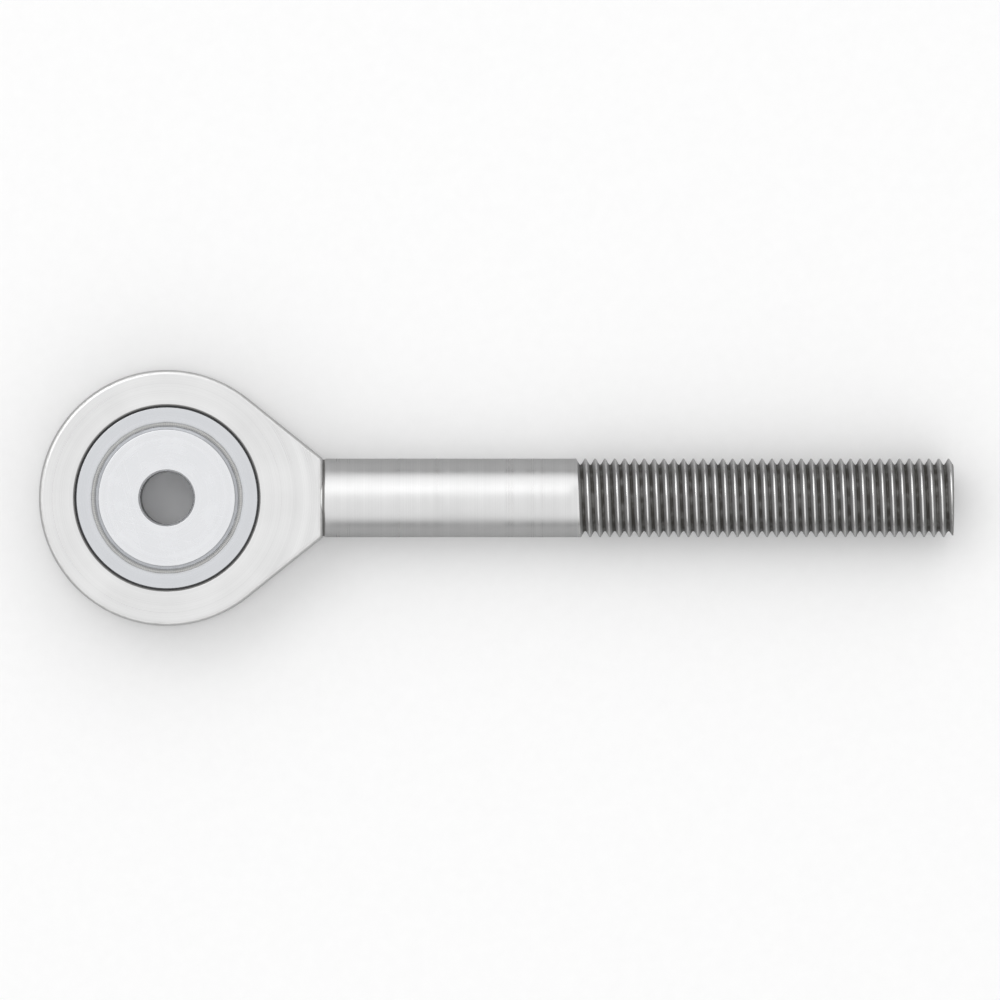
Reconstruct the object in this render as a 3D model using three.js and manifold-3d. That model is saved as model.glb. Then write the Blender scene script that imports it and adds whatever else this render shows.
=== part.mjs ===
// Eye bolt with a spherical bearing in its eye: a forged eye on a round shank with a rolled thread,
// and in the eye a pressed-in race, a thin sliding liner and a truncated ball with the pin hole.
// Millimetres. The bore axis is +Z and the shank runs along +X. The bolt lies flat, its ball's lower
// face at Z = 0, with the origin under the middle of its overall box.

import * as THREE from 'three';
import { mergeVertices } from 'three/addons/utils/BufferGeometryUtils.js';
import Module from 'manifold-3d';

// Eye and shank
const EYE_TO_TIP = 200;
const EYE_TO_SHOULDER = 39.5;
const HEAD_DIAMETER = 65;
const HEAD_THICKNESS = 20;
const HEAD_CHAMFER = 0.8;
const SHANK_DIAMETER = 20;
const RELIEF_DEPTH = 0.35; // shallow turned groove where the shank meets the shoulder
const RELIEF_WIDTH = 0.8;
const SHANK_ROOT_IN_HEAD = 9; // how far the shank's core runs on inside the head

// Thread, M20 x 2.5
const THREAD_LENGTH = 96; // from where the groove is at full depth, on the +Y side
const PITCH = 2.5;
const FLANK_ANGLE = Math.PI / 6; // each flank from the radial plane
const THREAD_DEPTH = 0.6134 * PITCH;
const CREST_FLAT = PITCH / 8;
const THREAD_NICK = 0.1; // depth at which the groove starts
const THREAD_LEAD_IN = 0.6; // plain shank between its last ring and the groove's start
const TIP_CHAMFER = 0.5; // the bar is cut off square and only deburred

// Spherical bearing
const RACE_DIAMETER = 46.9;
const RACE_WIDTH = 18;
const RACE_CHAMFER = 0.8;
const BALL_DIAMETER = 41;
const BALL_WIDTH = 22;
const PIN_HOLE_DIAMETER = 13.5;
const PIN_HOLE_CHAMFER = 0.5;
const LINER_THICKNESS = 0.5;
const LINER_WIDTH = 17.4;
const CLEARANCE = 0.3; // between race and eye, ball and liner, liner and race

// Facets
const ROUND_SEGMENTS = 48;
const HEAD_ARC_SEGMENTS = 28;
const SPHERE_STEPS = 10;
const THREAD_SEGMENTS = 20; // steps in one turn of the thread
const SMALLEST_EDGE = 0.06;

const SHANK_RADIUS = SHANK_DIAMETER / 2;
const HEAD_RADIUS = HEAD_DIAMETER / 2;
const BALL_RADIUS = BALL_DIAMETER / 2;
const LINER_INNER_RADIUS = BALL_RADIUS + CLEARANCE;
const LINER_OUTER_RADIUS = LINER_INNER_RADIUS + LINER_THICKNESS;
const RACE_BORE_RADIUS = LINER_OUTER_RADIUS + CLEARANCE;
const THREAD_START = EYE_TO_TIP - THREAD_LENGTH - PITCH / 2; // the nick, half a turn earlier

const wasm = await Module();
wasm.setup();

// A closed geometry as a solid that can be joined and cut.
function solidOf(geometry) {
  const bare = geometry.clone();
  bare.deleteAttribute('normal');
  bare.deleteAttribute('uv');
  const merged = mergeVertices(bare);
  const mesh = new wasm.Mesh({
    numProp: 3,
    vertProperties: merged.attributes.position.array,
    triVerts: new Uint32Array(merged.index.array),
  });
  return new wasm.Manifold(mesh);
}

// A solid back as a geometry, flat shaded.
function geometryOf(solid) {
  const mesh = solid.getMesh();
  const geometry = new THREE.BufferGeometry();
  geometry.setAttribute('position', new THREE.BufferAttribute(mesh.vertProperties, mesh.numProp));
  geometry.setIndex(new THREE.BufferAttribute(mesh.triVerts, 1));
  const flat = geometry.toNonIndexed();
  flat.computeVertexNormals();
  return flat;
}

// A ring or disc turned about Z from [radius, z] pairs.
function turned(profile) {
  const points = profile.map(([radius, z]) => new THREE.Vector2(radius, z));
  return new THREE.LatheGeometry(points, ROUND_SEGMENTS).rotateX(Math.PI / 2);
}

// Points of a sphere's outline about the centre, as [radius, z], from -halfWidth up to +halfWidth.
function sphereOutline(radius, halfWidth) {
  const limit = Math.asin(halfWidth / radius);
  const points = [];
  for (let i = 0; i <= SPHERE_STEPS; i += 1) {
    const latitude = -limit + (2 * limit * i) / SPHERE_STEPS;
    points.push([radius * Math.cos(latitude), radius * Math.sin(latitude)]);
  }
  return points;
}

// The eye's plate: a disc with straight flanks that run tangent from the rim to the shoulder's corners.
function headPlate() {
  const cornerDistance = Math.hypot(EYE_TO_SHOULDER, SHANK_RADIUS);
  const cornerAngle = Math.atan2(SHANK_RADIUS, EYE_TO_SHOULDER);
  const tangentAngle = cornerAngle + Math.acos(HEAD_RADIUS / cornerDistance);

  const outline = new THREE.Shape();
  outline.moveTo(EYE_TO_SHOULDER, -SHANK_RADIUS);
  outline.lineTo(EYE_TO_SHOULDER, SHANK_RADIUS);
  outline.absarc(0, 0, HEAD_RADIUS, tangentAngle, 2 * Math.PI - tangentAngle, false);
  outline.closePath();

  const bore = new THREE.Path();
  bore.absarc(0, 0, RACE_DIAMETER / 2 + CLEARANCE, 0, 2 * Math.PI, true);
  outline.holes.push(bore);

  const depth = HEAD_THICKNESS - 2 * HEAD_CHAMFER;
  const plate = new THREE.ExtrudeGeometry(outline, {
    depth,
    curveSegments: HEAD_ARC_SEGMENTS,
    bevelThickness: HEAD_CHAMFER,
    bevelSize: HEAD_CHAMFER,
    bevelOffset: -HEAD_CHAMFER,
    bevelSegments: 1,
  });
  return plate.translate(0, 0, -depth / 2);
}

// The shank with its helical thread, as one closed grid of rings and helical rows round +X. Rows that
// would run past the tip end on the tip's ring.
function threadedShank() {
  const steps = THREAD_SEGMENTS;
  const turnSteps = steps * Math.ceil((EYE_TO_TIP - THREAD_START) / PITCH);
  const flankRun = THREAD_DEPTH * Math.tan(FLANK_ANGLE);
  const grooveWidth = PITCH - CREST_FLAT;
  const rowOffsets = [0, flankRun, grooveWidth - flankRun, grooveWidth];

  const positions = [];
  const indices = [];
  const vertex = (x, radius, step) => {
    const angle = (2 * Math.PI * (step % steps)) / steps - Math.PI;
    positions.push(x, radius * Math.cos(angle), radius * Math.sin(angle));
    return positions.length / 3 - 1;
  };
  const ring = (x, radiusAt) => {
    const row = [];
    for (let step = 0; step < steps; step += 1) row.push(vertex(x, radiusAt(step), step));
    row.push(row[0]);
    return row;
  };
  const triangle = (a, b, c) => {
    if (a !== b && b !== c && c !== a) indices.push(a, b, c);
  };
  // The surface between two rows, the second one further along +X.
  const strip = (near, far) => {
    for (let i = 0; i + 1 < near.length; i += 1) {
      triangle(near[i], near[i + 1], far[i + 1]);
      triangle(near[i], far[i + 1], far[i]);
    }
  };
  const fan = (hub, row) => {
    for (let i = 0; i + 1 < row.length; i += 1) triangle(hub, row[i], row[i + 1]);
  };

  // Radii at the tip: the deburring chamfer, and the thread's own section where the bar is cut off.
  const chamferRadius = (x) => SHANK_RADIUS - TIP_CHAMFER + EYE_TO_TIP - x;
  const tipRadiusAt = (step) => {
    const run = (EYE_TO_TIP - THREAD_START - (PITCH * step) / steps) % PITCH;
    const fromEdge = Math.max(0, Math.min(run, grooveWidth - run));
    const depth = THREAD_DEPTH * Math.min(1, fromEdge / flankRun);
    return Math.min(SHANK_RADIUS - depth, chamferRadius(EYE_TO_TIP));
  };

  // The plain shank, from its core inside the head to the first row of the thread.
  const shankOutline = [
    [EYE_TO_SHOULDER - SHANK_ROOT_IN_HEAD, SHANK_RADIUS - RELIEF_DEPTH],
    [EYE_TO_SHOULDER + RELIEF_WIDTH, SHANK_RADIUS - RELIEF_DEPTH],
    [EYE_TO_SHOULDER + RELIEF_WIDTH + RELIEF_DEPTH, SHANK_RADIUS],
    [THREAD_START - THREAD_LEAD_IN, SHANK_RADIUS],
  ];
  const rings = shankOutline.map(([x, radius]) => ring(x, () => radius));
  const tipRing = ring(EYE_TO_TIP, tipRadiusAt);

  // Helical rows: the groove's near edge, the root's two edges and the groove's far edge. The groove
  // starts as a nick and is at full depth half a turn later.
  const depthAt = (step) => {
    const share = Math.min(1, (2 * step) / steps);
    return THREAD_NICK + (THREAD_DEPTH - THREAD_NICK) * share;
  };
  const rowPoint = (row, step) => {
    const x = THREAD_START + rowOffsets[row] + (PITCH * step) / steps;
    if (x > EYE_TO_TIP - SMALLEST_EDGE) return tipRing[step % steps];
    const depth = row === 1 || row === 2 ? depthAt(step) : 0;
    return vertex(x, Math.min(SHANK_RADIUS - depth, chamferRadius(x)), step);
  };
  const rows = [[], [], [], []];
  for (let step = 0; step <= turnSteps + steps; step += 1) {
    rows.forEach((row, index) => row.push(rowPoint(index, step)));
  }
  const [nearEdge, rootNear, rootFar, farEdge] = rows;
  const nextTurn = nearEdge.slice(steps);

  for (let i = 0; i + 1 < rings.length; i += 1) strip(rings[i], rings[i + 1]);
  const lastRing = rings[rings.length - 1];
  strip(lastRing.slice(0, steps), nearEdge);
  fan(nearEdge[steps - 1], [...lastRing.slice(-2), nearEdge[0], farEdge[0], nextTurn[0]]);
  strip(nearEdge, rootNear);
  strip(rootNear, rootFar);
  strip(rootFar, farEdge);
  strip(farEdge.slice(0, nextTurn.length), nextTurn);

  // The small wall where the groove starts, and the two end faces.
  fan(rootNear[0], [rootFar[0], farEdge[0], nearEdge[0]]);
  fan(vertex(shankOutline[0][0], 0, 0), [...rings[0]].reverse());
  fan(vertex(EYE_TO_TIP, 0, 0), tipRing);

  const geometry = new THREE.BufferGeometry();
  geometry.setAttribute('position', new THREE.Float32BufferAttribute(positions, 3));
  geometry.setIndex(indices);
  return geometry;
}

function eyeBoltBody() {
  return geometryOf(solidOf(headPlate()).add(solidOf(threadedShank())));
}

function race() {
  const outer = RACE_DIAMETER / 2;
  const half = RACE_WIDTH / 2;
  const outline = [
    [outer - RACE_CHAMFER, -half],
    [outer, -half + RACE_CHAMFER],
    [outer, half - RACE_CHAMFER],
    [outer - RACE_CHAMFER, half],
    ...sphereOutline(RACE_BORE_RADIUS, half).reverse(),
  ];
  return turned([...outline, outline[0]]);
}

function liner() {
  const half = LINER_WIDTH / 2;
  const outline = [
    ...sphereOutline(LINER_OUTER_RADIUS, half),
    ...sphereOutline(LINER_INNER_RADIUS, half).reverse(),
  ];
  return turned([...outline, outline[0]]);
}

function ball() {
  const half = BALL_WIDTH / 2;
  const hole = PIN_HOLE_DIAMETER / 2;
  const outline = [
    ...sphereOutline(BALL_RADIUS, half),
    [hole + PIN_HOLE_CHAMFER, half],
    [hole, half - PIN_HOLE_CHAMFER],
    [hole, -half + PIN_HOLE_CHAMFER],
    [hole + PIN_HOLE_CHAMFER, -half],
  ];
  return turned([...outline, outline[0]]);
}

function piece(name, geometry, look) {
  const mesh = new THREE.Mesh(geometry, new THREE.MeshStandardMaterial(look));
  mesh.name = name;
  return mesh;
}

// The eye's centre stands over the origin's left, so that the origin is under the middle of the box.
const bearingCentre = new THREE.Group();
bearingCentre.position.set((HEAD_RADIUS - EYE_TO_TIP) / 2, 0, BALL_WIDTH / 2);
bearingCentre.add(
  piece('eye_bolt_body', eyeBoltBody(), { color: 0xb9bdc1, roughness: 0.35, metalness: 1 }),
  piece('race', race(), { color: 0xa3a6aa, roughness: 0.25, metalness: 1 }),
  piece('ptfe_liner', liner(), { color: 0x9d9d9a, roughness: 0.6, metalness: 0 }),
  piece('ball', ball(), { color: 0xd4d6d8, roughness: 0.12, metalness: 1 }),
);

const eyeBolt = new THREE.Group();
eyeBolt.add(bearingCentre);

export default eyeBolt;
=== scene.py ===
"""Eye bolt with a spherical bearing in its eye, lying flat on a pale floor and seen from straight above.

The frame gives every place and outer size. The CAD nodes are faceted, so each one is replaced here by a
fine mesh of the same shape: the forged and turned bolt with its helical thread, the pressed-in race, the
woven sliding liner and the polished ball.
"""

import math

import bmesh
import bpy
import numpy as np
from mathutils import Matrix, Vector


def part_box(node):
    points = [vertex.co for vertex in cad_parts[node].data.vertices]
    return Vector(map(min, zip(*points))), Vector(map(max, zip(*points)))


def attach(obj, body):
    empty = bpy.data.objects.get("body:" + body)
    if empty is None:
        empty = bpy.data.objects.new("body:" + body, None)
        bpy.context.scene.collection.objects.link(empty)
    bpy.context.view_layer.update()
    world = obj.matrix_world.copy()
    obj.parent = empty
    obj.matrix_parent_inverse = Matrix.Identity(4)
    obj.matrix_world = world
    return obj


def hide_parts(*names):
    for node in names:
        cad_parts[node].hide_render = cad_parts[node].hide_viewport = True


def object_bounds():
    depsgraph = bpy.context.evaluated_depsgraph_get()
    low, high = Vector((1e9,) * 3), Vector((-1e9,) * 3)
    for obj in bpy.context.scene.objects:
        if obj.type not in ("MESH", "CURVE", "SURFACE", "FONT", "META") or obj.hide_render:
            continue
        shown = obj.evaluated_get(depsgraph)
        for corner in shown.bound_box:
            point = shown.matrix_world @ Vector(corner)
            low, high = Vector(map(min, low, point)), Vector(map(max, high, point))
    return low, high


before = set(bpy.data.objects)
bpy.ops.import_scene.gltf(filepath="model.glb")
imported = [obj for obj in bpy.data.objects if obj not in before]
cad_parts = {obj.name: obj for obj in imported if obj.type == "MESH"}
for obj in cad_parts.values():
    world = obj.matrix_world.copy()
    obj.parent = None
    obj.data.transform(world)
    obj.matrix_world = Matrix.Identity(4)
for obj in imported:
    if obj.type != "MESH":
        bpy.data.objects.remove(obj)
cad_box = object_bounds()

MM = 0.001

# Places and sizes from the frame
BALL_LOW, BALL_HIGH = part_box("ball")
BODY_LOW, BODY_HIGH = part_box("eye_bolt_body")
RACE_LOW, RACE_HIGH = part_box("race")
LINER_LOW, LINER_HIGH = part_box("ptfe_liner")
EYE = (BALL_LOW + BALL_HIGH) / 2
TIP_X = BODY_HIGH.x
HEAD_RADIUS = EYE.x - BODY_LOW.x
HEAD_HALF = (BODY_HIGH.z - BODY_LOW.z) / 2
BALL_RADIUS = (BALL_HIGH.x - BALL_LOW.x) / 2
BALL_HALF = (BALL_HIGH.z - BALL_LOW.z) / 2
RACE_RADIUS = (RACE_HIGH.x - RACE_LOW.x) / 2
RACE_HALF = (RACE_HIGH.z - RACE_LOW.z) / 2
LINER_HALF = (LINER_HIGH.z - LINER_LOW.z) / 2

# Eye and shank
SHOULDER_X = EYE.x + 39.5 * MM
SHANK_RADIUS = 10 * MM
HEAD_EDGE = 1.1 * MM  # rounding of the head's rim
HEAD_CORNER = 1.4 * MM  # rounding of the shoulder's upright corners
BORE_CHAMFER = 0.4 * MM
RELIEF_DEPTH = 0.25 * MM  # turned groove where the shank meets the shoulder
RELIEF_WIDTH = 0.45 * MM
SHANK_ROOT_IN_HEAD = 9 * MM
STUB_END_X = SHOULDER_X + 6 * MM  # up to here the shank is joined to the head, and the rest is sewn on

# Thread, M20 x 2.5
PITCH = 2.5 * MM
THREAD_LENGTH = 96 * MM
THREAD_START_X = TIP_X - THREAD_LENGTH - PITCH / 2
CREST_FLAT = PITCH / 8
ROOT_RADIUS = 0.14434 * PITCH
FLANK_ANGLE = math.radians(30)
CREST_ROUND = 0.04 * MM
TIP_CHAMFER = 0.5 * MM
RUN_IN = 0.5  # turns over which the groove reaches its full depth

# Bearing
FIT = 0.02 * MM  # gap left between two surfaces that touch
LINER_THICKNESS = 0.5 * MM
RACE_CHAMFER = 0.5 * MM
PIN_HOLE_RADIUS = 6.75 * MM
PIN_HOLE_CHAMFER = 0.5 * MM
FINE_EDGE = 0.2 * MM  # rounding of a ground edge
WEAVE_REPEATS = 260  # of the liner's weave, round the bore
WEAVE_LENGTH = 0.5 * MM  # of one repeat, along the bore

# Mesh fineness
ROUND_SEGMENTS = 192  # round the bearing
SHANK_SEGMENTS = 96
EYE_STEPS = 180  # round the eye's big arc
CORNER_STEPS = 8  # round each of the shoulder's corners
FLANK_POINTS = 24  # along each straight flank
SHOULDER_POINTS = 20
SPHERE_STEPS = 40
PLAIN_RINGS = 24  # along the unthreaded shank
FILLET_STEPS = 5
SUPPORT = 0.12 * MM  # a loop this far from a fillet keeps the flat beside it flat
SHARP_ANGLE = math.radians(35)
DOUBLE = 1e-7  # vertices this near each other, in metres, are one
SEAM_DOUBLE = 1e-6  # the same where the threaded shank is sewn on

# Scratches in the metal
SCRATCH_SPACING = 2.2 * MM
SCRATCH_LENGTH = 16 * MM
SCRATCH_WIDTH = 0.07 * MM

# Studio
FLOOR_SIZE = 14.0  # metres
VIEW_WIDTH = 1.095  # width of the picture, in lengths of the eye bolt
VIEW_RIGHT = 0.88 * MM  # middle of the picture from the middle of the eye bolt
VIEW_UP = -0.53 * MM
VIEW_LENS = 600  # mm, long enough that the picture is almost free of perspective
HORIZON_LIGHT = 0.25  # strength of the sky at the horizon
OVERHEAD_LIGHT = 0.98
SKY_BRIGHT_FROM = 0.6  # rise, as a sine, where the sky reaches its overhead brightness
BACKDROP_LIGHT = 0.97  # where it is seen directly, behind the object


# ---------------------------------------------------------------- meshes


def new_object(name, data):
    """An object in the scene that shows a mesh, a light or a camera."""
    made = bpy.data.objects.new(name, data)
    bpy.context.scene.collection.objects.link(made)
    return made


def new_mesh(name, vertices, faces):
    mesh = bpy.data.meshes.new(name)
    mesh.from_pydata([tuple(v) for v in vertices], [], faces)
    return mesh


def add_piece(name, vertices, faces, body, node, slot, material):
    """One finished piece: smooth shaded up to its sharp edges, riding on a body in place of a CAD node."""
    mesh = new_mesh(name, vertices, faces)
    tidy_mesh(mesh)
    piece = new_object(name, mesh)
    mesh.materials.append(material)
    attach(piece, body)
    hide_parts(node)


def tidy_mesh(mesh):
    """Joins doubled vertices, turns every face outwards and marks the sharp edges."""
    work = bmesh.new()
    work.from_mesh(mesh)
    bmesh.ops.remove_doubles(work, verts=work.verts, dist=DOUBLE)
    bmesh.ops.recalc_face_normals(work, faces=work.faces)
    for face in work.faces:
        face.smooth = True
    work.to_mesh(mesh)
    work.free()
    mesh.set_sharp_from_angle(angle=SHARP_ANGLE)


def filleted(corners):
    """A closed outline from (a, b, fillet) corners: each corner with a fillet becomes an arc."""
    points = []
    count = len(corners)
    for index, (a, b, fillet) in enumerate(corners):
        here = np.array([a, b])
        if not fillet:
            points.append(here)
            continue
        before = np.array(corners[index - 1][:2]) - here
        after = np.array(corners[(index + 1) % count][:2]) - here
        room = min(np.linalg.norm(before), np.linalg.norm(after))
        before /= np.linalg.norm(before)
        after /= np.linalg.norm(after)
        half = math.acos(np.clip(before @ after, -1, 1)) / 2
        setback = fillet / math.tan(half)
        centre = here + (before + after) / np.linalg.norm(before + after) * fillet / math.sin(half)
        first = here + before * setback - centre
        last = here + after * setback - centre
        support = min(SUPPORT, (room - setback) / 3)
        points.append(here + before * (setback + support))
        for step in range(FILLET_STEPS + 1):
            blend = first + (last - first) * step / FILLET_STEPS
            points.append(centre + blend / np.linalg.norm(blend) * fillet)
        points.append(here + after * (setback + support))
    return points


def sphere_arc(radius, half_width):
    """Points of a sphere's outline, as (radius, z, no fillet), from -half_width up to +half_width."""
    limit = math.asin(half_width / radius)
    latitudes = np.linspace(-limit, limit, SPHERE_STEPS + 1)
    return [(radius * math.cos(a), radius * math.sin(a), 0) for a in latitudes]


def with_end_fillets(arc, fillet):
    """The same arc with its two end corners rounded."""
    first, *middle, last = arc
    return [(*first[:2], fillet), *middle, (*last[:2], fillet)]


def turned_about_bore(outline):
    """Vertices and faces of a closed (radius, z) outline turned round the bearing's axis."""
    angles = np.arange(ROUND_SEGMENTS) * 2 * math.pi / ROUND_SEGMENTS
    vertices = [
        (EYE.x + radius * math.cos(angle), EYE.y + radius * math.sin(angle), EYE.z + z)
        for radius, z in outline
        for angle in angles
    ]
    return vertices, ring_faces(len(outline), ROUND_SEGMENTS, closed=True)


def ring_faces(rings, segments, closed, first=0):
    """Quads between neighbouring rings of that many segments, numbered on from first; closed also joins
    the last ring to the first one."""
    faces = []
    for ring in range(rings if closed else rings - 1):
        near = first + ring * segments
        far = first + (ring + 1) % rings * segments
        for i in range(segments):
            j = (i + 1) % segments
            faces.append((near + i, near + j, far + j, far + i))
    return faces


# ---------------------------------------------------------------- the bolt


def head_rim():
    """Points of the eye's outline with their outward normals, about the eye's centre: a big arc round
    the eye and a small one at each end of the shoulder, with straight stretches between them."""
    reach = SHOULDER_X - EYE.x

    # The flank touches the eye's arc and passes through the shoulder's end; this is its normal's angle.
    flank = math.atan2(SHANK_RADIUS, reach)
    flank += math.acos(HEAD_RADIUS / math.hypot(reach, SHANK_RADIUS))
    corner_x = reach - HEAD_CORNER
    corner_y = (HEAD_RADIUS - HEAD_CORNER - math.cos(flank) * corner_x) / math.sin(flank)

    # (centre, radius, first and last angle, steps round it, points on the straight that follows)
    arcs = [
        ((0, 0), HEAD_RADIUS, flank, 2 * math.pi - flank, EYE_STEPS, FLANK_POINTS),
        ((corner_x, -corner_y), HEAD_CORNER, -flank, 0, CORNER_STEPS, SHOULDER_POINTS),
        ((corner_x, corner_y), HEAD_CORNER, 0, flank, CORNER_STEPS, FLANK_POINTS),
    ]
    rim = []
    for index, (centre, radius, first, last, steps, straight) in enumerate(arcs):
        for angle in np.linspace(first, last, steps + 1):
            normal = np.array([math.cos(angle), math.sin(angle)])
            rim.append((np.array(centre) + radius * normal, normal))
        end, normal = rim[-1]
        next_centre, next_radius, next_angle = arcs[(index + 1) % len(arcs)][:3]
        next_normal = np.array([math.cos(next_angle), math.sin(next_angle)])
        start = np.array(next_centre) + next_radius * next_normal
        for step in range(1, straight + 1):
            rim.append((end + (start - end) * step / (straight + 1), normal))
    return rim


def head_plate():
    """The eye's plate as vertices and faces. Its section is swept round: the outer end follows the rim, the
    inner end follows the bore, and the two flat faces stretch between them."""
    rim = head_rim()
    bore = RACE_RADIUS + FIT
    wall = 10 * MM  # any width that keeps the section's two ends apart
    section = [
        (0, -HEAD_HALF, HEAD_EDGE),
        (0, HEAD_HALF, HEAD_EDGE),
        (-wall + BORE_CHAMFER, HEAD_HALF, FINE_EDGE),
        (-wall, HEAD_HALF - BORE_CHAMFER, FINE_EDGE),
        (-wall, -HEAD_HALF + BORE_CHAMFER, FINE_EDGE),
        (-wall + BORE_CHAMFER, -HEAD_HALF, FINE_EDGE),
    ]
    vertices = []
    outline = filleted(section)
    for out, z in outline:
        for point, normal in rim:
            if out > -wall / 2:
                x, y = point + normal * out
            else:
                x, y = point / np.linalg.norm(point) * (bore + wall + out)
            vertices.append((EYE.x + x, EYE.y + y, EYE.z + z))
    return vertices, ring_faces(len(outline), len(rim), closed=True)


def shank_ring(x, radii):
    """One ring of the shank; radii is one number or one for each step."""
    steps = np.arange(SHANK_SEGMENTS)
    angles = 2 * math.pi * steps / SHANK_SEGMENTS - math.pi
    radii = np.broadcast_to(radii, SHANK_SEGMENTS)
    y = EYE.y + radii * np.cos(angles)
    z = EYE.z + radii * np.sin(angles)
    return np.column_stack([np.full(SHANK_SEGMENTS, x), y, z])


def shank_stub():
    """The shank from inside the head to a little past the shoulder, closed at both ends."""
    core = SHANK_RADIUS - RELIEF_DEPTH
    groove_end = SHOULDER_X + RELIEF_WIDTH
    outline = filleted(
        [
            (SHOULDER_X - SHANK_ROOT_IN_HEAD, 0, 0),
            (SHOULDER_X - SHANK_ROOT_IN_HEAD, core, 0),
            (groove_end, core, FINE_EDGE),
            (groove_end + RELIEF_DEPTH, SHANK_RADIUS, FINE_EDGE),
            (STUB_END_X, SHANK_RADIUS, 0),
            (STUB_END_X, 0, 0),
        ]
    )[1:-1]
    vertices = np.vstack([shank_ring(x, radius) for x, radius in outline])
    faces = ring_faces(len(outline), SHANK_SEGMENTS, closed=False)
    faces.append(tuple(range(SHANK_SEGMENTS)))
    last = (len(outline) - 1) * SHANK_SEGMENTS
    faces.append(tuple(range(last, last + SHANK_SEGMENTS)))
    return vertices, faces


def thread_depth(run):
    """Depth of the thread's form below its crest, at a distance along the pitch from the groove's edge:
    two 30 degree flanks that run into a rounded root."""
    groove = PITCH - CREST_FLAT
    from_middle = np.abs(np.asarray(run, float) - groove / 2)
    sharp = (groove / 2 - from_middle) / math.tan(FLANK_ANGLE)
    arc_centre = groove / 2 / math.tan(FLANK_ANGLE) - ROOT_RADIUS / math.sin(FLANK_ANGLE)
    arc = arc_centre + np.sqrt(np.maximum(0, ROOT_RADIUS**2 - from_middle**2))
    in_root = from_middle < ROOT_RADIUS * math.cos(FLANK_ANGLE)
    return np.where(in_root, arc, np.maximum(0, sharp))


def thread_rows():
    """Distances along the pitch, and depths, of the rows that trace one groove with its rounded edges."""
    groove = PITCH - CREST_FLAT
    tangent = ROOT_RADIUS * math.cos(FLANK_ANGLE)
    flank = groove / 2 - CREST_ROUND
    half = np.array([tangent / 2, tangent, (tangent + flank) / 2, flank])
    from_middle = np.concatenate([-half[::-1], [0], half])
    depths = thread_depth(from_middle + groove / 2)

    # Each edge of the crest is a corner cut a little below the crest, between the flank and the flat.
    edge = groove / 2
    beyond = edge + CREST_ROUND
    runs = np.concatenate([[-beyond, -edge], from_middle, [edge, beyond]]) + groove / 2
    edge_depth = CREST_ROUND / 3
    return runs, np.concatenate([[0, edge_depth], depths, [edge_depth, 0]])


def thread_helix():
    """The thread's points, as an array of steps round the shank by rows along the pitch. The groove fades
    in over the run-in, and the chamfer of the tip cuts the last turn."""
    runs, depths = thread_rows()
    turns = math.ceil((TIP_X - THREAD_START_X) / PITCH) + 1
    step = np.arange(SHANK_SEGMENTS * turns + 1)
    angle = 2 * math.pi * (step % SHANK_SEGMENTS) / SHANK_SEGMENTS - math.pi
    lead = THREAD_START_X + PITCH * step / SHANK_SEGMENTS
    share = np.clip(step / SHANK_SEGMENTS / RUN_IN, 0, 1)
    fade = share * share * (3 - 2 * share)

    x = lead[:, None] + runs[None, :]
    chamfer = SHANK_RADIUS - TIP_CHAMFER + (TIP_X - x)
    radius = np.minimum(SHANK_RADIUS - depths[None, :] * fade[:, None], chamfer)
    y = EYE.y + radius * np.cos(angle)[:, None]
    z = EYE.z + radius * np.sin(angle)[:, None]
    return np.stack([x, y, z], axis=2)


def tip_radii():
    """Radius of the tip's edge at each step: the thread's own section there, within the chamfer."""
    lead = THREAD_START_X + PITCH * np.arange(SHANK_SEGMENTS) / SHANK_SEGMENTS
    run = (TIP_X - lead) % PITCH
    depth = np.where(run < PITCH - CREST_FLAT, thread_depth(run), 0)
    return np.minimum(SHANK_RADIUS - depth, SHANK_RADIUS - TIP_CHAMFER)


def helix_faces(index):
    """Faces between the rows and turns of the helix, given each point's vertex. Corners that share a
    vertex, on the tip's ring, make a triangle or no face."""
    steps = SHANK_SEGMENTS
    step_count, row_count = index.shape
    quads = []
    for s in range(step_count - 1):
        for row in range(row_count - 1):
            quads.append((index[s, row], index[s + 1, row], index[s + 1, row + 1], index[s, row + 1]))
        if s + steps + 1 < step_count:
            near = index[s, -1], index[s + 1, -1]
            far = index[s + steps + 1, 0], index[s + steps, 0]
            quads.append(near + far)
    corners = [tuple(dict.fromkeys(int(v) for v in quad)) for quad in quads]
    return [face for face in corners if len(face) > 2]


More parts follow.
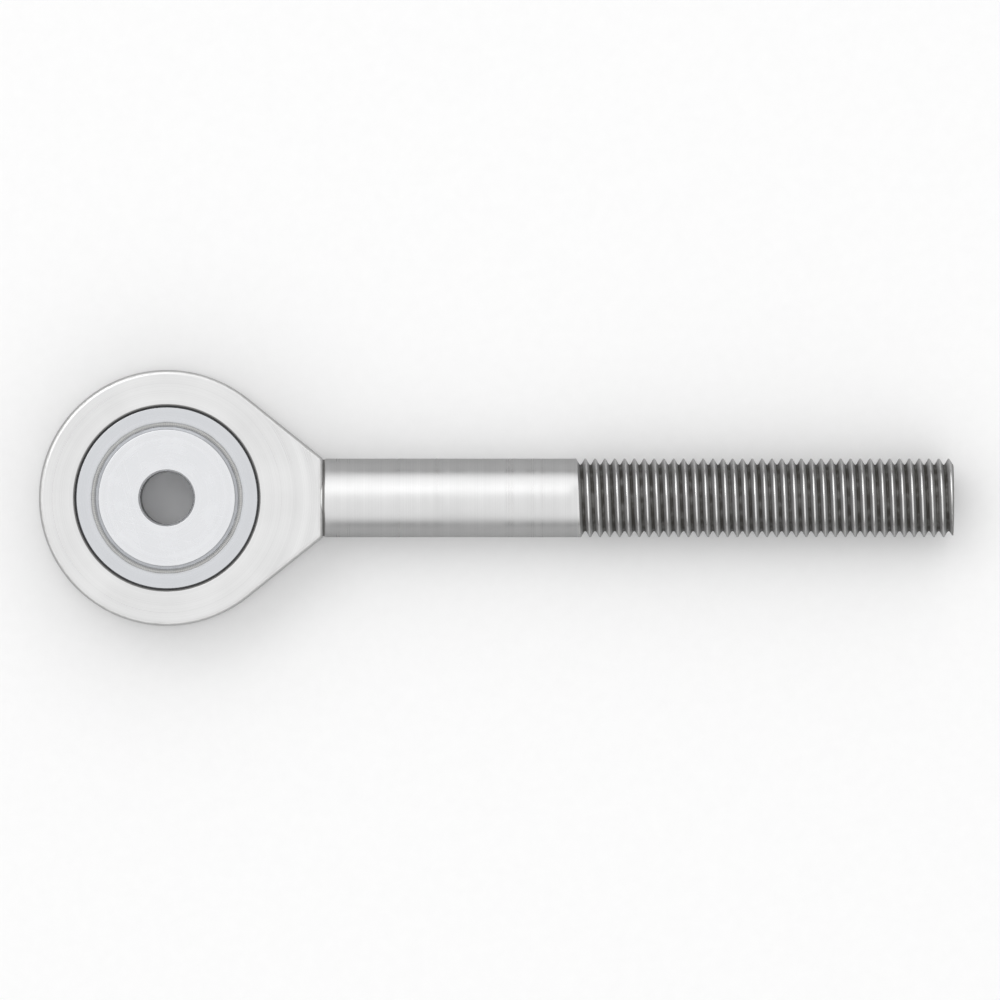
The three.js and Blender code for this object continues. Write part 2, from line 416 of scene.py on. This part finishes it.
def threaded_shank():
    """The shank from the stub's end to the tip, open at the stub: a plain stretch, the helix and the end
    face. Points of the helix that would pass the tip end on the tip's ring."""
    steps = SHANK_SEGMENTS
    helix = thread_helix()
    step_count, row_count, _ = helix.shape

    # The plain stretch ends a quarter of a pitch before the helix, and the run-in's faces join the two.
    plain_xs = np.linspace(STUB_END_X, THREAD_START_X - PITCH / 4, PLAIN_RINGS)
    plain = [shank_ring(x, SHANK_RADIUS) for x in plain_xs]
    radii = tip_radii()
    end_face = [shank_ring(TIP_X, radius) for radius in (radii, radii - SUPPORT, SHANK_RADIUS / 2)]
    hub = [(TIP_X, EYE.y, EYE.z)]
    vertices = np.vstack([*plain, *end_face, helix.reshape(-1, 3), hub])

    # Where the tip's ring, the last plain ring, the end face's inner ring, the helix and the hub begin
    tip_at = len(plain) * steps
    run_in_at = tip_at - steps
    inner_at = tip_at + (len(end_face) - 1) * steps
    helix_at = inner_at + steps
    hub_at = len(vertices) - 1

    on_helix = helix_at + np.arange(step_count * row_count).reshape(step_count, row_count)
    on_tip = tip_at + np.arange(step_count)[:, None] % steps
    half_step = PITCH / steps / 2
    index = np.where(helix[:, :, 0] > TIP_X - half_step, on_tip, on_helix)

    faces = ring_faces(PLAIN_RINGS, steps, closed=False)
    faces += ring_faces(len(end_face), steps, closed=False, first=tip_at)
    faces += helix_faces(index)
    for s in range(steps):
        following = (s + 1) % steps
        if s + 1 < steps:
            run_in = (run_in_at + s, run_in_at + following, index[s + 1, 0], index[s, 0])
            faces.append(tuple(int(v) for v in run_in))
        faces.append((inner_at + s, inner_at + following, hub_at))
    seam = [run_in_at + steps - 1, run_in_at, *index[0], index[steps, 0], index[steps - 1, 0]]
    faces.append(tuple(int(v) for v in seam))
    return vertices, faces


def union(first, second):
    """The mesh of two closed bodies joined, each given as vertices and faces."""
    halves = []
    for vertices, faces in (first, second):
        mesh = new_mesh("half", vertices, faces)
        tidy_mesh(mesh)
        halves.append(new_object("half", mesh))
    modifier = halves[0].modifiers.new("join", "BOOLEAN")
    modifier.operation = "UNION"
    modifier.solver = "EXACT"
    modifier.object = halves[1]
    depsgraph = bpy.context.evaluated_depsgraph_get()
    joined = bpy.data.meshes.new_from_object(halves[0].evaluated_get(depsgraph))
    for half in halves:
        bpy.data.objects.remove(half)
    return joined


def bolt():
    """The whole bolt: head and stub joined, the stub's end opened, and the threaded shank sewn on."""
    work = bmesh.new()
    work.from_mesh(union(head_plate(), shank_stub()))
    end = [
        face
        for face in work.faces
        if all(abs(vertex.co.x - STUB_END_X) < SEAM_DOUBLE for vertex in face.verts)
    ]
    bmesh.ops.delete(work, geom=end, context="FACES_ONLY")
    vertices, faces = threaded_shank()
    added = [work.verts.new(tuple(v)) for v in vertices]
    for face in faces:
        work.faces.new([added[i] for i in face])
    bmesh.ops.remove_doubles(work, verts=work.verts, dist=SEAM_DOUBLE)
    loose = [vertex for vertex in work.verts if not vertex.link_faces]
    bmesh.ops.delete(work, geom=loose, context="VERTS")
    work.verts.index_update()
    points = [vertex.co.copy() for vertex in work.verts]
    polygons = [tuple(vertex.index for vertex in face.verts) for face in work.faces]
    work.free()
    return points, polygons


# ---------------------------------------------------------------- the bearing


def race():
    """The outer ring: chamfered outside, with the liner's spherical seat inside."""
    seat = BALL_RADIUS + LINER_THICKNESS + 2 * FIT
    outside = [
        (RACE_RADIUS - RACE_CHAMFER, -RACE_HALF, FINE_EDGE),
        (RACE_RADIUS, -RACE_HALF + RACE_CHAMFER, FINE_EDGE),
        (RACE_RADIUS, RACE_HALF - RACE_CHAMFER, FINE_EDGE),
        (RACE_RADIUS - RACE_CHAMFER, RACE_HALF, FINE_EDGE),
    ]
    inside = with_end_fillets(sphere_arc(seat, RACE_HALF), FINE_EDGE)[::-1]
    return turned_about_bore(filleted(outside + inside))


def liner():
    """The thin woven shell between race and ball."""
    inner = BALL_RADIUS + FIT
    outline = sphere_arc(inner + LINER_THICKNESS, LINER_HALF)
    outline += sphere_arc(inner, LINER_HALF)[::-1]
    return turned_about_bore(filleted(outline))


def ball():
    """The truncated ball with its chamfered pin hole."""
    hole = [
        (PIN_HOLE_RADIUS + PIN_HOLE_CHAMFER, BALL_HALF, FINE_EDGE / 2),
        (PIN_HOLE_RADIUS, BALL_HALF - PIN_HOLE_CHAMFER, FINE_EDGE / 2),
        (PIN_HOLE_RADIUS, -BALL_HALF + PIN_HOLE_CHAMFER, FINE_EDGE / 2),
        (PIN_HOLE_RADIUS + PIN_HOLE_CHAMFER, -BALL_HALF, FINE_EDGE / 2),
    ]
    outside = with_end_fillets(sphere_arc(BALL_RADIUS, BALL_HALF), FINE_EDGE)
    return turned_about_bore(filleted(outside + hole))


# ---------------------------------------------------------------- materials


class Graph:
    """A material's node tree, built by short calls that return output sockets. Lengths are in metres."""

    def __init__(self, name):
        self.material = bpy.data.materials.new(name)
        self.material.use_nodes = True
        self.tree = self.material.node_tree
        self.tree.nodes.clear()
        place = self.node("ShaderNodeTexCoord").outputs["Object"]
        self.at = self.vectors("SUBTRACT", place, EYE)
        split = self.node("ShaderNodeSeparateXYZ", {0: self.at})
        self.x, self.y, self.z = split.outputs
        self.height = self.maths("ABSOLUTE", self.z)
        self.from_bore = self.distance(self.x, self.y)
        self.from_shank = self.distance(self.y, self.z)

    def node(self, kind, inputs=None, **settings):
        made = self.tree.nodes.new(kind)
        for key, value in settings.items():
            setattr(made, key, value)
        for key, value in (inputs or {}).items():
            if isinstance(value, bpy.types.NodeSocket):
                self.tree.links.new(value, made.inputs[key])
            else:
                made.inputs[key].default_value = value
        return made

    def maths(self, operation, a, b=0.0, c=0.0):
        return self.node("ShaderNodeMath", {0: a, 1: b, 2: c}, operation=operation).outputs[0]

    def vectors(self, operation, a, b):
        return self.node("ShaderNodeVectorMath", {0: a, 1: b}, operation=operation).outputs[0]

    def times(self, first, *others):
        product = first
        for other in others:
            product = self.maths("MULTIPLY", product, other)
        return product

    def total(self, start, *shares):
        """start plus, for each (pattern, weight) pair, the pattern times its weight."""
        running = start
        for pattern, weight in shares:
            running = self.maths("MULTIPLY_ADD", pattern, weight, running)
        return running

    def distance(self, a, b):
        """The length of the vector (a, b)."""
        return self.maths("SQRT", self.maths("ADD", self.times(a, a), self.times(b, b)))

    def step(self, value, low, high, at_low=0.0, at_high=1.0):
        """A smooth step: at_low up to low, at_high from high on."""
        inputs = {0: value, 1: low, 2: high, 3: at_low, 4: at_high}
        return self.node("ShaderNodeMapRange", inputs, interpolation_type="SMOOTHSTEP").outputs[0]

    def fall(self, value, low, high, at_low=1.0):
        """A smooth step down: at_low up to low, 0 from high on."""
        return self.step(value, low, high, at_low, 0.0)

    def within(self, value, low, high, soft):
        """1 between low and high, fading to 0 over the soft distance on either side."""
        return self.times(self.step(value, low - soft, low), self.fall(value, high, high + soft))

    def either(self, first, *others):
        strongest = first
        for other in others:
            strongest = self.maths("MAXIMUM", strongest, other)
        return strongest

    def mix(self, share, first, second):
        """first where share is 0 and second where it is 1, for numbers or for colours."""
        if isinstance(first, tuple) or isinstance(second, tuple):
            inputs = {0: share, 6: first, 7: second}
            return self.node("ShaderNodeMix", inputs, data_type="RGBA").outputs[2]
        return self.node("ShaderNodeMix", {0: share, 2: first, 3: second}).outputs[0]

    def noise(self, at, size, detail):
        """Noise from 0 to 1 with features of that size: in space, or along a line if at is a number."""
        place, dimensions = ("W", "1D") if at.type == "VALUE" else ("Vector", "3D")
        inputs = {place: at, "Scale": 1 / size, "Detail": detail}
        return self.node("ShaderNodeTexNoise", inputs, noise_dimensions=dimensions).outputs[0]

    def scratches(self, turn):
        """1 on hairline scratches that all run one way, at uneven gaps and lengths, and 0 elsewhere."""
        turned = self.node("ShaderNodeMapping", {"Vector": self.at, "Rotation": (0, 0, turn)}).outputs[0]
        along, across, _ = self.node("ShaderNodeSeparateXYZ", {0: turned}).outputs
        inputs = {"W": across, "Scale": 1 / SCRATCH_SPACING}
        lines = self.node("ShaderNodeTexVoronoi", inputs, voronoi_dimensions="1D").outputs
        width = SCRATCH_WIDTH / SCRATCH_SPACING
        line = self.fall(lines["Distance"], width / 2, width)

        # Each line reads noise of its own, far from its neighbours', so that it is cut up in other places.
        apart = SCRATCH_LENGTH / SCRATCH_SPACING * 3
        own = self.node("ShaderNodeCombineXYZ", {"X": along, "Y": self.times(lines["W"], apart)})
        scratched = self.step(self.noise(own.outputs[0], SCRATCH_LENGTH, 0.0), 0.58, 0.64)
        return self.times(line, scratched)

    def finish(self, colour, roughness, metallic, heights):
        """The finished material; heights are (pattern, its height in metres) pairs for the bump."""
        height = self.total(0.0, *heights)
        bump = self.node("ShaderNodeBump", {"Height": height, "Distance": 1.0})
        inputs = {"Base Color": colour, "Roughness": roughness, "Metallic": metallic}
        shader = self.node("ShaderNodeBsdfPrincipled", {**inputs, "Normal": bump.outputs[0]})
        self.node("ShaderNodeOutputMaterial", {"Surface": shader.outputs[0]})
        return self.material


# Colours, linear
BRIGHT_ZINC = (0.83, 0.84, 0.85, 1)
DULL_ZINC = (0.60, 0.615, 0.635, 1)
FORGED_ZINC = (0.72, 0.73, 0.745, 1)
DARK_ZINC = (0.59, 0.60, 0.615, 1)
RUBBED_STEEL = (0.87, 0.87, 0.86, 1)
# near black, for the dirt and painted shade in the bolt's hollows
NEAR_BLACK_DIRT_AND_SHADE = (0.040, 0.036, 0.031, 1)
RACE_STEEL = (0.70, 0.71, 0.73, 1)
RACE_TINT = (0.60, 0.615, 0.64, 1)
CHROME = (0.80, 0.805, 0.82, 1)
CHROME_TINT = (0.73, 0.74, 0.76, 1)
# painted shade, for the gap between race and ball
PAINTED_GAP_SHADE = (0.33, 0.33, 0.325, 1)
LINER_YARN = (0.50, 0.50, 0.49, 1)
LINER_GLIDE = (0.76, 0.76, 0.745, 1)
LINER_GAP = (0.12, 0.12, 0.118, 1)
FLOOR_PALE = (0.95, 0.95, 0.95, 1)
FLOOR_PALER = (0.985, 0.985, 0.985, 1)
FLOOR_MIRRORED = (0.45, 0.45, 0.45, 1)


def bolt_steel():
    """Zinc-plated steel: turned faces and shank, a forged rim, dirt and painted shade in the roots, rubbed
    crests.
    """
    g = Graph("zinc_plated_steel")
    reach = SHOULDER_X - EYE.x
    thread_from = THREAD_START_X - EYE.x
    tip = TIP_X - EYE.x

    # Masks: the shank, the head, its flat faces, its forged rim, the rim's edges and the cut-off end
    shank = g.step(g.x, reach, reach + 0.1 * MM)
    head = g.maths("SUBTRACT", 1.0, shank)
    flat = g.step(g.height, HEAD_HALF - 0.08 * MM, HEAD_HALF - 0.02 * MM)
    rim = g.times(head, g.maths("SUBTRACT", 1.0, flat))
    edge = g.times(rim, g.step(g.height, HEAD_HALF - HEAD_EDGE, HEAD_HALF - HEAD_EDGE / 2))
    cut_end = g.step(g.x, tip - 0.03 * MM, tip - 0.01 * MM)

    # Turning marks: rings round the bore on the faces, and round the shank's axis on shank and end
    along = g.mix(cut_end, g.mix(shank, g.from_bore, g.x), g.from_shank)
    fine_marks = g.mix(rim, g.noise(along, 0.22 * MM, 3.0), 0.5)
    broad_marks = g.mix(rim, g.noise(along, 2.6 * MM, 2.0), 0.5)
    end_rings = g.times(cut_end, g.noise(g.from_shank, 0.7 * MM, 4.0))

    # The forged skin of the rim, with pits, and smoother along the wavering line where the dies parted
    waver = g.maths("MULTIPLY_ADD", g.noise(g.at, 3 * MM, 4.0), 2.4 * MM, g.height)
    parting = g.times(rim, g.fall(waver, 1.5 * MM, 2.1 * MM))
    skin = g.maths("SUBTRACT", rim, g.times(parting, 0.7))
    forged = g.noise(g.at, 1.5 * MM, 4.0)
    skin_tone = g.mix(g.step(forged, 0.2, 0.75), DARK_ZINC, FORGED_ZINC)
    pits = g.times(skin, g.step(g.noise(g.at, 0.5 * MM, 2.0), 0.62, 0.72))

    # All over: the plating's grain, cloudy tones and finger marks
    grain = g.noise(g.at, 0.16 * MM, 2.0)
    mottle = g.noise(g.at, 13 * MM, 4.0)
    smudge = g.step(g.noise(g.at, 24 * MM, 3.0), 0.5, 0.7)
    scratch = g.either(g.scratches(0.5), g.scratches(-0.9))

    # Dirt and painted shade, near black: in the thread's roots, in the relief groove, round the race and on
    # the cut-off edge
    threaded = g.within(g.x, thread_from, tip - 0.2 * MM, 0.1 * MM)
    depth = float(thread_depth(PITCH / 2 - CREST_FLAT / 2))
    root = g.fall(g.from_shank, SHANK_RADIUS - depth, SHANK_RADIUS - depth / 8)
    root = g.times(root, threaded, g.step(g.noise(g.at, 2.4 * MM, 3.0), 0.3, 0.6, 0.84, 1.0))
    groove = g.within(g.x, reach, reach + RELIEF_WIDTH, 0.1 * MM)
    groove = g.times(groove, g.fall(g.from_shank, SHANK_RADIUS - RELIEF_DEPTH, SHANK_RADIUS, 0.8))
    bore = RACE_RADIUS + FIT
    seat = g.times(head, g.fall(g.from_bore, bore + BORE_CHAMFER / 2, bore + BORE_CHAMFER * 1.2, 0.8))
    cut_edge = g.step(g.x, tip - TIP_CHAMFER, tip - TIP_CHAMFER / 2, 0.0, 0.6)
    dirt_and_shade = g.either(root, groove, seat, cut_edge)

    # The crests are rubbed bright, and so are the rim's edges
    full_thread = g.times(threaded, g.step(g.x, thread_from + PITCH / 2, thread_from + PITCH))
    crest = g.times(full_thread, g.step(g.from_shank, SHANK_RADIUS - depth / 5, SHANK_RADIUS))
    rubbed = g.either(edge, crest)

    tone = g.total(-0.2, (mottle, 0.5), (fine_marks, 0.5), (broad_marks, 0.4))
    colour = g.mix(tone, DULL_ZINC, BRIGHT_ZINC)
    colour = g.mix(g.times(skin, 0.8), colour, skin_tone)
    colour = g.mix(g.times(rubbed, 0.7), colour, RUBBED_STEEL)
    colour = g.mix(g.step(end_rings, 0.4, 0.7, 0.0, 0.6), colour, RUBBED_STEEL)
    # Painted shade with dirt: the hollows turn near black
    colour = g.mix(dirt_and_shade, colour, NEAR_BLACK_DIRT_AND_SHADE)
    roughness = g.total(
        0.18,
        (broad_marks, 0.16),
        (fine_marks, 0.10),
        (smudge, 0.08),
        (g.times(scratch, flat), 0.12),
        (skin, 0.14),
        (rubbed, -0.10),
    )
    roughness = g.mix(dirt_and_shade, roughness, 0.5)
    metallic = g.total(1.0, (dirt_and_shade, -0.8))
    heights = [
        (fine_marks, 0.002 * MM),
        (broad_marks, 0.008 * MM),
        (grain, 0.0015 * MM),
        (g.times(skin, g.maths("SUBTRACT", forged, 0.5)), 0.16 * MM),
        (parting, 0.02 * MM),
        (pits, -0.02 * MM),
        (scratch, -0.002 * MM),
    ]
    return g.finish(colour, roughness, metallic, heights)


def race_steel():
    """Ground bearing steel with fine rings and patchy painted shade at its inner lip, beside the ball."""
    g = Graph("ground_bearing_steel")
    fine_marks = g.noise(g.maths("ADD", g.from_bore, g.z), 0.16 * MM, 3.0)
    broad_marks = g.noise(g.from_bore, 1.3 * MM, 2.0)
    mottle = g.noise(g.at, 9 * MM, 4.0)
    scratch = g.scratches(1.9)
    lip = BALL_RADIUS * math.cos(math.asin(RACE_HALF / BALL_RADIUS))
    shade_patches = g.step(g.noise(g.at, 3 * MM, 3.0), 0.35, 0.65, 0.4, 1.0)
    # Painted shade: the face darkens towards the inner lip, where the gap round the ball is
    lip_shade = g.times(g.fall(g.from_bore, lip + 0.5 * MM, lip + 1.3 * MM, 0.8), shade_patches)

    tone = g.total(0.0, (mottle, 0.5), (fine_marks, 0.6))
    colour = g.mix(tone, RACE_STEEL, RACE_TINT)
    colour = g.mix(lip_shade, colour, PAINTED_GAP_SHADE)
    roughness = g.total(0.14, (broad_marks, 0.14), (fine_marks, 0.08))
    roughness = g.mix(lip_shade, roughness, 0.34)
    metallic = g.total(1.0, (lip_shade, -0.5))
    heights = [(fine_marks, 0.001 * MM), (broad_marks, 0.004 * MM), (scratch, -0.001 * MM)]
    return g.finish(colour, roughness, metallic, heights)


def liner_fabric():
    """Plain-woven sliding fabric: pale gliding yarns across greyer ones, with dark gaps between."""
    g = Graph("woven_sliding_fabric")
    angle = g.maths("ARCTAN2", g.y, g.x)
    around = g.maths("SINE", g.times(angle, WEAVE_REPEATS))
    across = g.maths("SINE", g.times(g.z, 2 * math.pi / WEAVE_LENGTH))
    over = g.step(g.times(around, across), -0.3, 0.3)
    yarn = g.maths("ABSOLUTE", g.mix(over, around, across))
    fuzz = g.noise(g.at, 0.12 * MM, 3.0)
    worn = g.noise(g.at, 4 * MM, 3.0)

    colour = g.mix(g.times(over, worn), LINER_YARN, LINER_GLIDE)
    colour = g.mix(g.fall(yarn, 0.1, 0.5), colour, LINER_GAP)
    roughness = g.total(0.5, (worn, 0.2))
    return g.finish(colour, roughness, 0.0, [(yarn, 0.03 * MM), (fuzz, 0.01 * MM)])


def ball_chrome():
    """Polished hard chrome over ground steel, with hairline grinding rings and painted shade at the race's
    edge.
    """
    g = Graph("polished_hard_chrome")
    fine_marks = g.noise(g.maths("ADD", g.from_bore, g.z), 0.1 * MM, 3.0)
    broad_marks = g.noise(g.from_bore, 1.1 * MM, 2.0)
    mottle = g.noise(g.at, 8 * MM, 4.0)
    smudge = g.step(g.noise(g.at, 6 * MM, 3.0), 0.45, 0.65)
    scratch = g.either(g.scratches(0.2), g.scratches(1.3))
    face = g.step(g.height, BALL_HALF - 0.1 * MM, BALL_HALF)
    # Painted shade, patchy: the band darkens where the ball goes into the race
    entry_shade = g.times(g.fall(g.height, RACE_HALF - 0.2 * MM, RACE_HALF + 1 * MM, 0.5), smudge)

    tone = g.total(0.0, (mottle, 0.5), (g.times(face, fine_marks), 0.6))
    colour = g.mix(tone, CHROME, CHROME_TINT)
    colour = g.mix(g.times(entry_shade, 0.6), colour, PAINTED_GAP_SHADE)
    rings = g.times(face, broad_marks)
    roughness = g.total(
        0.13,
        (face, 0.04),
        (rings, 0.12),
        (fine_marks, 0.05),
        (smudge, 0.05),
        (g.times(scratch, face), 0.10),
    )
    metallic = g.total(1.0, (entry_shade, -0.4))
    heights = [(rings, 0.003 * MM), (scratch, -0.0007 * MM)]
    return g.finish(colour, roughness, metallic, heights)


# ---------------------------------------------------------------- the pieces

add_piece("forged_eye_bolt", *bolt(), "eye_bolt", "eye_bolt_body", "body_steel", bolt_steel())
add_piece("outer_race", *race(), "eye_bolt", "race", "race_steel", race_steel())
add_piece("woven_liner", *liner(), "sliding_liner", "ptfe_liner", "liner_fabric", liner_fabric())
add_piece("spherical_ball", *ball(), "bearing_ball", "ball", "ball_chrome", ball_chrome())


# ---------------------------------------------------------------- floor, light and camera


def add_floor():
    """A plain pale floor, just under the ball's lower face. The metal mirrors it dimmer than it is, so
    that round edges stand out against it."""
    half = FLOOR_SIZE / 2
    corners = [(-half, -half, -FIT), (half, -half, -FIT), (half, half, -FIT), (-half, half, -FIT)]
    mesh = new_mesh("floor", corners, [(0, 1, 2, 3)])
    floor = new_object("floor", mesh)
    g = Graph("pale_floor")
    speckle = g.noise(g.at, 3 * MM, 3.0)
    colour = g.mix(speckle, FLOOR_PALE, FLOOR_PALER)
    seen = g.node("ShaderNodeLightPath").outputs["Is Camera Ray"]
    colour = g.mix(seen, FLOOR_MIRRORED, colour)
    mesh.materials.append(g.finish(colour, 0.9, 0.0, [(speckle, 0.01 * MM)]))


def add_softbox(name, place, width, watts):
    """A round area light that faces the eye bolt's middle, with its place and width in metres."""
    light = bpy.data.lights.new(name, "AREA")
    light.shape = "DISK"
    light.size = width
    light.energy = watts
    lamp = new_object(name, light)
    middle = Vector(((cad_box[0].x + cad_box[1].x) / 2, 0, EYE.z))
    lamp.location = place
    lamp.rotation_euler = (middle - lamp.location).to_track_quat("-Z", "Y").to_euler()


def add_sky():
    """Studio walls: bright overhead and darker towards the horizon, so that round edges turn dark. Seen
    directly, behind the object, they are as pale as the floor."""
    world = bpy.data.worlds.new("studio")
    world.use_nodes = True
    tree = world.node_tree
    tree.nodes.clear()
    place = tree.nodes.new("ShaderNodeTexCoord")
    split = tree.nodes.new("ShaderNodeSeparateXYZ")
    rise = tree.nodes.new("ShaderNodeMapRange")
    seen = tree.nodes.new("ShaderNodeLightPath")
    pick = tree.nodes.new("ShaderNodeMix")
    sky = tree.nodes.new("ShaderNodeBackground")
    output = tree.nodes.new("ShaderNodeOutputWorld")
    rise.interpolation_type = "SMOOTHSTEP"
    rise.inputs["From Max"].default_value = SKY_BRIGHT_FROM
    rise.inputs["To Min"].default_value = HORIZON_LIGHT
    rise.inputs["To Max"].default_value = OVERHEAD_LIGHT
    pick.inputs[3].default_value = BACKDROP_LIGHT
    tree.links.new(place.outputs["Generated"], split.inputs[0])
    tree.links.new(split.outputs["Z"], rise.inputs["Value"])
    tree.links.new(seen.outputs["Is Camera Ray"], pick.inputs[0])
    tree.links.new(rise.outputs[0], pick.inputs[2])
    tree.links.new(pick.outputs[0], sky.inputs["Strength"])
    tree.links.new(sky.outputs[0], output.inputs["Surface"])
    sky.inputs["Color"].default_value = (1, 1, 1, 1)
    bpy.context.scene.world = world


def add_camera():
    """Straight above, through a long lens, with the eye to the left and the thread to the right."""
    length = cad_box[1].x - cad_box[0].x
    camera = bpy.data.cameras.new("camera")
    camera.lens = VIEW_LENS
    height = EYE.z + VIEW_WIDTH * length * VIEW_LENS / camera.sensor_width
    viewer = new_object("camera", camera)
    viewer.location = ((cad_box[0].x + cad_box[1].x) / 2 + VIEW_RIGHT, VIEW_UP, height)
    bpy.context.scene.camera = viewer


add_floor()
add_sky()
add_softbox("key_softbox", place=(-1.8, 2.2, 4.8), width=3.4, watts=33.6)
add_softbox("side_softbox", place=(0.3, 3.75, 2.55), width=3.9, watts=10.8)
add_camera()
bpy.context.scene.view_settings.view_transform = "Standard"
